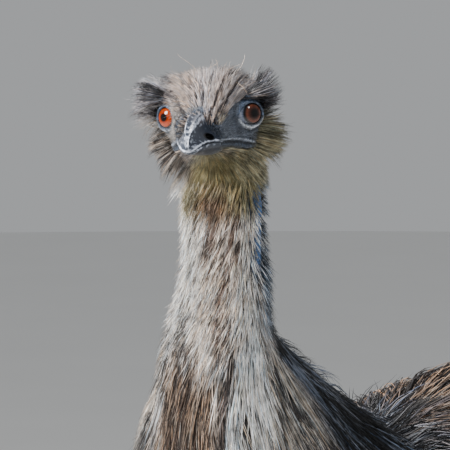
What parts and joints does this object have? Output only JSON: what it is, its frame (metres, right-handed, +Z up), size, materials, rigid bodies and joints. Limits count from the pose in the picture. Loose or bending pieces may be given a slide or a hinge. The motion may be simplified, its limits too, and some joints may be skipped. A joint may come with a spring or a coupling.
{
  "type": "emu",
  "caption": "Life-size still model of a standing adult emu with shaggy hanging plumage, its head turned to its left.",
  "frame": {"origin": "on the floor, under the middle of the whole bird's box", "axes": "+Z up, the body faces -Y, the tail lies towards +Y, the bird's left is +X"},
  "size_m": [0.4046, 0.9538, 1.4399],
  "materials": {
    "body_feathers": "loose shaggy dark brown and grey plumage",
    "neck_feathers": "whitish and brown hair-like plumage",
    "head_feathers": "short dark hair-like plumage over slate blue skin",
    "face_skin": "bare slate blue skin",
    "bill_horn": "worn dark slate horn",
    "eye": "wet glossy eyeball, red-brown to amber iris",
    "leg_skin": "scaly grey-brown leg skin",
    "claw_horn": "blunt dark claw horn"
  },
  "bodies": {
    "root": {"head": "head_feathers", "bill_upper": "bill_horn", "bill_lower": "bill_horn", "eye_left": "eye", "ear_left": "face_skin", "eye_right": "eye", "ear_right": "face_skin", "neck_upper": "neck_feathers", "neck_middle": "neck_feathers", "neck_lower": "neck_feathers", "thigh_left": "body_feathers", "shank_left": "leg_skin", "hock_left": "leg_skin", "tarsus_left": "leg_skin", "foot_left": "leg_skin", "claw_inner_left": "claw_horn", "claw_middle_left": "claw_horn", "claw_outer_left": "claw_horn", "thigh_right": "body_feathers", "shank_right": "leg_skin", "hock_right": "leg_skin", "tarsus_right": "leg_skin", "foot_right": "leg_skin", "claw_inner_right": "claw_horn", "claw_middle_right": "claw_horn", "claw_outer_right": "claw_horn", "wing_left": "body_feathers", "wing_right": "body_feathers", "torso": "body_feathers", "tail": "body_feathers"}
  },
  "joints": []
}
